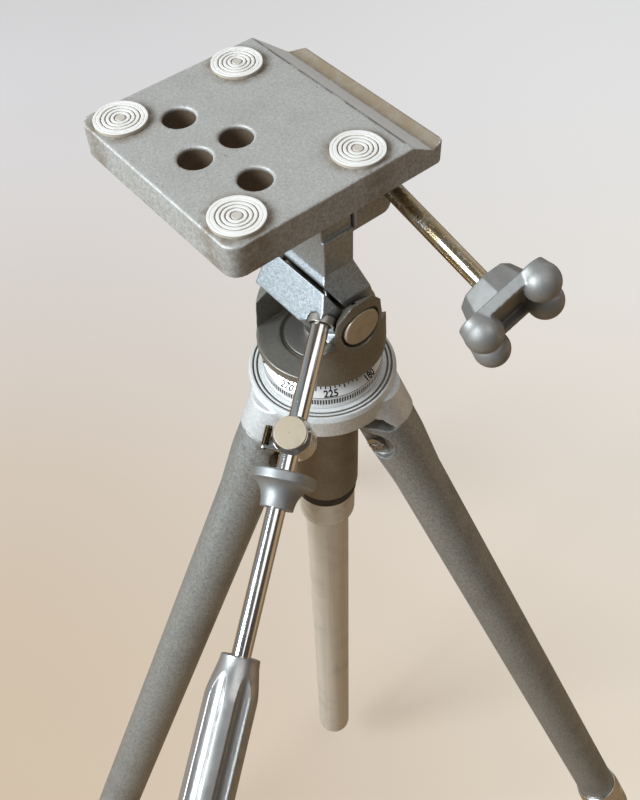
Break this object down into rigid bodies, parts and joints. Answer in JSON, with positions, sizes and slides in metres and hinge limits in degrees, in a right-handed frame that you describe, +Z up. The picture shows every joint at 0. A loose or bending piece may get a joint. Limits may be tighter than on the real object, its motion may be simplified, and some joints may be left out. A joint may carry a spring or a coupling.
{
  "type": "camera tripod",
  "caption": "Folding camera stand with telescoping legs, a sliding centre column, a graduated pan dial, and a head whose padded plate tilts by a handle and sideways.",
  "frame": {"origin": "on the floor under the pan axis", "axes": "+X along the tilt axis to the operator's right, +Y forward, away from the operator, +Z up"},
  "size_m": [0.4919, 0.4416, 0.6616],
  "materials": {
    "plate_casting": "bead-blasted casting with brown stains",
    "pads": "ribbed, off-white with age",
    "steel": "turned",
    "rusty_steel": "turned, rusting",
    "dark_steel": "blackened",
    "worn_chrome": "pitted",
    "chrome": "polished",
    "knob_casting": "cast",
    "head_enamel": "silver hammertone",
    "yoke_paint": "satin grey",
    "dial": "turned and knurled, black numbers",
    "shoulder_casting": "rough cast, turned ring",
    "leg_enamel": "grey hammertone",
    "column_tube": "pale anodised",
    "sleeve_paint": "satin dark grey",
    "black_plastic": "matt",
    "nylon": "plain",
    "clamp_cap": "beige",
    "trigger_alloy": "satin turned",
    "grip": "satin grey",
    "foot_rubber": "matt black"
  },
  "bodies": {
    "shoulder": {"shoulder": "shoulder_casting", "hinge_bolts": "rusty_steel", "hinge_nuts": "rusty_steel", "column_sleeve": "sleeve_paint", "column_ring": "black_plastic"},
    "column": {"centre_column": "column_tube", "column_end_cap": "black_plastic", "pan_dial": "dial", "pan_washer": "steel", "pan_bolt": "steel"},
    "column_lock": {"column_lock_collar": "chrome", "column_bush": "nylon"},
    "pan": {"yoke": "yoke_paint", "tilt_shaft": "steel", "yoke_set_screw": "steel"},
    "tilt": {"tilt_block": "head_enamel", "side_tilt_shaft": "steel", "side_tilt_washer": "steel", "side_tilt_screw": "steel"},
    "plate": {"camera_plate": "plate_casting", "plate_pads": "pads"},
    "side_lock": {"side_lock_rod": "worn_chrome", "side_lock_knob": "knob_casting"},
    "handle": {"handle_rod": "chrome", "handle_bush": "steel", "handle_grip": "grip", "release_clamp": "chrome", "release_nipple": "dark_steel"},
    "clamp_screw": {"release_clamp_screw": "clamp_cap"},
    "trigger": {"release_trigger": "trigger_alloy", "trigger_set_screw": "dark_steel"},
    "leg_1": {"leg_1_head": "leg_enamel", "leg_1_tube": "leg_enamel", "leg_1_bush": "nylon"},
    "leg_1_lock": {"leg_1_collar": "chrome"},
    "leg_1_extension": {"leg_1_lower": "column_tube", "leg_1_guide": "nylon", "leg_1_foot": "foot_rubber"},
    "leg_2": {"leg_2_head": "leg_enamel", "leg_2_tube": "leg_enamel", "leg_2_bush": "nylon"},
    "leg_2_lock": {"leg_2_collar": "chrome"},
    "leg_2_extension": {"leg_2_lower": "column_tube", "leg_2_guide": "nylon", "leg_2_foot": "foot_rubber"},
    "leg_3": {"leg_3_head": "leg_enamel", "leg_3_tube": "leg_enamel", "leg_3_bush": "nylon"},
    "leg_3_lock": {"leg_3_collar": "chrome"},
    "leg_3_extension": {"leg_3_lower": "column_tube", "leg_3_guide": "nylon", "leg_3_foot": "foot_rubber"}
  },
  "joints": [
    {"name": "column_slide", "type": "slide", "parent": "shoulder", "child": "column", "axis": [0, 0, 1], "range_m": [0, 0.3]},
    {"name": "column_lock_turn", "type": "hinge", "parent": "shoulder", "child": "column_lock", "pos_m": [0, 0, 0.40491], "axis": [0, 0, 1], "range_deg": [-180, 0]},
    {"name": "pan_turn", "type": "hinge", "parent": "column", "child": "pan", "pos_m": [0, 0, 0.53591], "axis": [0, 0, 1], "continuous": true},
    {"name": "tilt_turn", "type": "hinge", "parent": "pan", "child": "tilt", "pos_m": [0, 0, 0.56991], "axis": [1, 0, 0], "range_deg": [-90, 8]},
    {"name": "side_tilt_turn", "type": "hinge", "parent": "tilt", "child": "plate", "pos_m": [0, 0.0089, 0.61491], "axis": [0, 1, 0], "range_deg": [-90, 15]},
    {"name": "side_lock_turn", "type": "hinge", "parent": "plate", "child": "side_lock", "pos_m": [0, 0.0243, 0.62951], "axis": [0.9727, -0.0085, -0.2317], "range_deg": [-180, 0]},
    {"name": "handle_turn", "type": "hinge", "parent": "tilt", "child": "handle", "pos_m": [0.018, -0.0145, 0.57401], "axis": [0.5211, -0.7415, -0.4226], "range_deg": [-180, 0]},
    {"name": "clamp_screw_turn", "type": "hinge", "parent": "handle", "child": "clamp_screw", "pos_m": [0.04395, -0.05143, 0.55297], "axis": [0.243, -0.3458, 0.9063], "range_deg": [0, 360]},
    {"name": "trigger_slide", "type": "slide", "parent": "handle", "child": "trigger", "axis": [-0.5211, 0.7415, 0.4226], "range_m": [0, 0.006]},
    {"name": "leg_1_fold", "type": "hinge", "parent": "shoulder", "child": "leg_1", "pos_m": [0.02958, 0.01507, 0.48781], "axis": [-0.454, 0.891, 0], "range_deg": [0, 25]},
    {"name": "leg_1_lock_turn", "type": "hinge", "parent": "leg_1", "child": "leg_1_lock", "pos_m": [0.18918, 0.09639, 0.13014], "axis": [0.392, 0.1997, -0.898], "range_deg": [-180, 0]},
    {"name": "leg_1_slide", "type": "slide", "parent": "leg_1", "child": "leg_1_extension", "axis": [0.392, 0.1997, -0.898], "range_m": [-0.085, 0.15]},
    {"name": "leg_2_fold", "type": "hinge", "parent": "shoulder", "child": "leg_2", "pos_m": [-0.02784, 0.01808, 0.48781], "axis": [-0.5446, -0.8387, 0], "range_deg": [0, 25]},
    {"name": "leg_2_lock_turn", "type": "hinge", "parent": "leg_2", "child": "leg_2_lock", "pos_m": [-0.17807, 0.11564, 0.13014], "axis": [-0.369, 0.2396, -0.898], "range_deg": [-180, 0]},
    {"name": "leg_2_slide", "type": "slide", "parent": "leg_2", "child": "leg_2_extension", "axis": [-0.369, 0.2396, -0.898], "range_m": [-0.085, 0.15]},
    {"name": "leg_3_fold", "type": "hinge", "parent": "shoulder", "child": "leg_3", "pos_m": [-0.00174, -0.03315, 0.48781], "axis": [0.9986, -0.0523, 0], "range_deg": [0, 25]},
    {"name": "leg_3_lock_turn", "type": "hinge", "parent": "leg_3", "child": "leg_3_lock", "pos_m": [-0.01111, -0.21203, 0.13014], "axis": [-0.023, -0.4393, -0.898], "range_deg": [-180, 0]},
    {"name": "leg_3_slide", "type": "slide", "parent": "leg_3", "child": "leg_3_extension", "axis": [-0.023, -0.4393, -0.898], "range_m": [-0.085, 0.15]}
  ]
}
